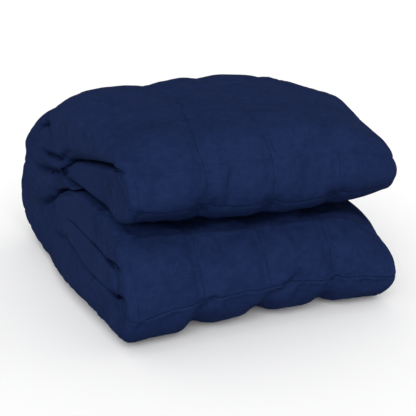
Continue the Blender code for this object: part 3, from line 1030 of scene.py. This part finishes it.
# %% Threads, slubs and clouds
THREAD = 0.00065                        # metres from one yarn to the next
warp = (weft_place * (2.0 * math.pi / THREAD)).wave()
weft = (warp_place * (2.0 * math.pi / THREAD)).wave()
weave = warp * weft
SLUB_SCALES = (520.0, 60.0)             # slubs to the metre, across and along a slub
slubs = flecks(stretched(*SLUB_SCALES), 1.0) + flecks(stretched(*SLUB_SCALES[::-1]), 1.0) - 1.0
mottle = flecks(here, 120.0, 3.0, 0.6) - 0.5
clouds = flecks(here, 26.0, 2.0) - 0.5
print("weave and unevenness:", len(cloth.node_tree.nodes), "nodes so far")

# %% [markdown]
# ## Stitched seams
#
# On the real blanket the pockets are sewn with long machine stitches in a thread of the cloth's
# colour. What shows is a thin dark line of shade, where the stitching holds the cloth down, and
# dashes in it that catch a little light. Thousands of modelled stitches would be too fine to see,
# so the lines come from the map too: three columns, every row, the hem's line and the low row,
# which shows best. In the colour, the line is painted shade and the dashes are painted
# highlights. Stretches where the columns' line is fainter come from a noise.

# %% Stitch lines
STITCH = 0.0034                         # metres from one stitch to the next
STITCH_SHARE = 0.66                     # of it that is thread
LINE = 0.0011                           # half the width of a sewn line


def seam_lines():
    """1 on the pockets' stitching: three columns, and every row."""
    inside = (weft_place - 0.5 * STRIP_WIDTH).size().fade(1.40 * POCKET, 1.45 * POCKET)
    from_seam = ((weft_place / POCKET + 0.5).fraction() - 0.5).size() * POCKET
    columns = from_seam.stroke(LINE) * inside
    from_row_line = (((warp_place - first_seam) / row_pitch + 0.5).fraction() - 0.5).size()
    on_strip = (weft_place - 0.5 * STRIP_WIDTH).size().fade(1.90 * POCKET, 2.0 * POCKET)
    rows = (from_row_line * row_pitch).stroke(LINE) * on_strip
    return columns, rows


column_line, row_line = seam_lines()
hem_mark = (warp_place - hem_line).stroke(LINE)
low_mark = (warp_place - low_row).stroke(LINE)
dash_along = (warp_place / STITCH).fraction() < STITCH_SHARE
dash_across = (weft_place / STITCH).fraction() < STITCH_SHARE
# A noise makes the columns' painted shade line fainter in stretches.
line_strength = flecks(here, 38.0, 1.0).fade(0.62, 0.38)
# The seam mask darkens the colour as painted shade in the groove, and presses the relief.
seam = (column_line.most(row_line * 0.6) * (0.55 + 0.45 * line_strength)).most(hem_mark).most(low_mark)
# The thread dashes lighten the colour as painted highlights.
thread_dash = (column_line * dash_along).most((row_line.most(hem_mark)) * dash_across)
print("with the stitching:", len(cloth.node_tree.nodes), "nodes")

# %% [markdown]
# ## Colour and relief
#
# The navy goes from a deep to a lighter shade as the yarn and the nap have it, and is painted
# darker in the folds as painted shade. The seams are darker still, as painted shade in their
# groove. Cloth this matte has hardly any gloss, so the specular level is very low, and the
# roughness varies with the slubs and the thread. The same sums give a relief, in metres, which a
# Bump node turns into tiny slopes. Everything large is in the mesh already.

# %% Colour
DEEP_NAVY = (0.0048, 0.0100, 0.0360, 1.0)
LIGHT_NAVY = (0.0134, 0.0250, 0.0840, 1.0)
# Painted shade of the stitched grooves.
SEAM_SHADOW_NAVY = (0.0038, 0.0072, 0.0255, 1.0)

# The painted fold shade, read from the mesh's attribute.
painted_shade = loom.out(loom.node("ShaderNodeAttribute", {"attribute_name": "painted_fold_shade"}), 2)
# Painted fold shade darkens the mix; the weave, slubs, mottle and clouds are the cloth's own uneven
# tone.
tone_and_painted_shade = 0.5 - 0.55 * painted_shade + 0.14 * weave + 0.42 * slubs + 0.62 * mottle + 0.42 * clouds
base = loom.node("ShaderNodeMix", {"data_type": "RGBA"}, s0=tone_and_painted_shade, s6=DEEP_NAVY, s7=LIGHT_NAVY)
# The seams are painted darker, as shade in their groove, and the dashes lighter, as painted
# highlights.
stitched = loom.node("ShaderNodeMix", {"data_type": "RGBA"}, s0=0.45 * seam - 0.12 * thread_dash,
                     s6=loom.out(base, 2), s7=SEAM_SHADOW_NAVY)
cloth.node_tree.links.new(stitched.outputs[2], shader.inputs["Base Color"])
print("shades from", DEEP_NAVY[:3], "to", LIGHT_NAVY[:3])

# %% Roughness and relief
roughness = 0.90 - 0.10 * slubs - 0.12 * thread_dash
cloth.node_tree.links.new(roughness.socket, shader.inputs["Roughness"])
relief = 0.00006 * weave + 0.00018 * slubs + 0.00030 * mottle
relief = relief - 0.00060 * seam + 0.0003 * thread_dash
bump_node = loom.node("ShaderNodeBump", Strength=1.0, Distance=1.0, Height=relief)
cloth.node_tree.links.new(bump_node.outputs[0], shader.inputs["Normal"])
shader.inputs["Specular IOR Level"].default_value = 0.01
blanket_mesh.materials.append(cloth)
print("navy cloth:", len(cloth.node_tree.nodes), "nodes")

# %% [markdown]
# ## Floor and light
#
# The photo was taken on a white studio floor. A large pale plane and a white sky give the soft
# light from all round, and a sun as wide as a big softbox gives the direction: from the front,
# a little to the left and rather low, so that it reaches into the mouth. An area lamp would do
# as well, but its light would fall off across the pile.

# %% Floor
floor_mesh = bpy.data.meshes.new("floor")
floor_shape = bmesh.new()
bmesh.ops.create_grid(floor_shape, x_segments=1, y_segments=1, size=14.0)
floor_shape.to_mesh(floor_mesh)
floor_shape.free()
floor = bpy.data.objects.new("floor", floor_mesh)
bpy.context.collection.objects.link(floor)
paper = bpy.data.materials.new("pale_floor")
paper.use_nodes = True
paper_shader = paper.node_tree.nodes["Principled BSDF"]
paper_shader.inputs["Base Color"].default_value = (0.95, 0.95, 0.95, 1.0)
paper_shader.inputs["Roughness"].default_value = 0.8
floor_mesh.materials.append(paper)
print("floor:", [round(n, 1) for n in floor.dimensions[:2]], "m")

# %% Light
KEY_TURN = math.radians(23.0)           # to the left of the front
KEY_RISE = math.radians(31.0)           # above the floor


def direction(turn, rise):
    """The way from the pile to a place this far left of the front and this high."""
    return Vector((-math.sin(turn) * math.cos(rise), -math.cos(turn) * math.cos(rise),
                   math.sin(rise)))


world = bpy.data.worlds.new("studio")
world.use_nodes = True
world.node_tree.nodes["Background"].inputs["Color"].default_value = (1.0, 1.0, 1.0, 1.0)
world.node_tree.nodes["Background"].inputs["Strength"].default_value = 0.68
bpy.context.scene.world = world
bpy.context.scene.view_settings.view_transform = "Standard"
sun = bpy.data.lights.new("key_light", "SUN")
sun.energy = 2.60
sun.angle = math.radians(52.0)
key_light = bpy.data.objects.new("key_light", sun)
key_light.rotation_euler = direction(KEY_TURN, KEY_RISE).to_track_quat("Z", "Y").to_euler()
bpy.context.collection.objects.link(key_light)
print("sun:", sun.energy, "W/m2,", round(math.degrees(sun.angle)), "degrees wide")

# %% [markdown]
# ## Camera
#
# The camera stands where the photo's did, in front and a little to the left, and looks down
# slightly. Its turn, height and distance came from matching the pile's corners, and a fairly
# long lens keeps the back from shrinking. The lens is given in pixels of a picture 416 wide.

# %% Camera
CAMERA_TURN = math.radians(25.65)
CAMERA_RISE = math.radians(17.43)
CAMERA_DISTANCE = 1.18
CAMERA_TARGET = Vector((-0.0415, -0.1540, 0.141))
LENS_PIXELS = 900.0
PICTURE_WIDTH = 416.0

back = direction(CAMERA_TURN, CAMERA_RISE)
lens = bpy.data.cameras.new("photo_camera")
lens.sensor_width = 36.0
lens.lens = LENS_PIXELS / PICTURE_WIDTH * lens.sensor_width
camera = bpy.data.objects.new("photo_camera", lens)
camera.location = CAMERA_TARGET + back * CAMERA_DISTANCE
camera.rotation_euler = (-back).to_track_quat("-Z", "Y").to_euler()
bpy.context.collection.objects.link(camera)
bpy.context.scene.camera = camera
print("camera:", round(lens.lens, 1), "mm lens,", CAMERA_DISTANCE, "m away")
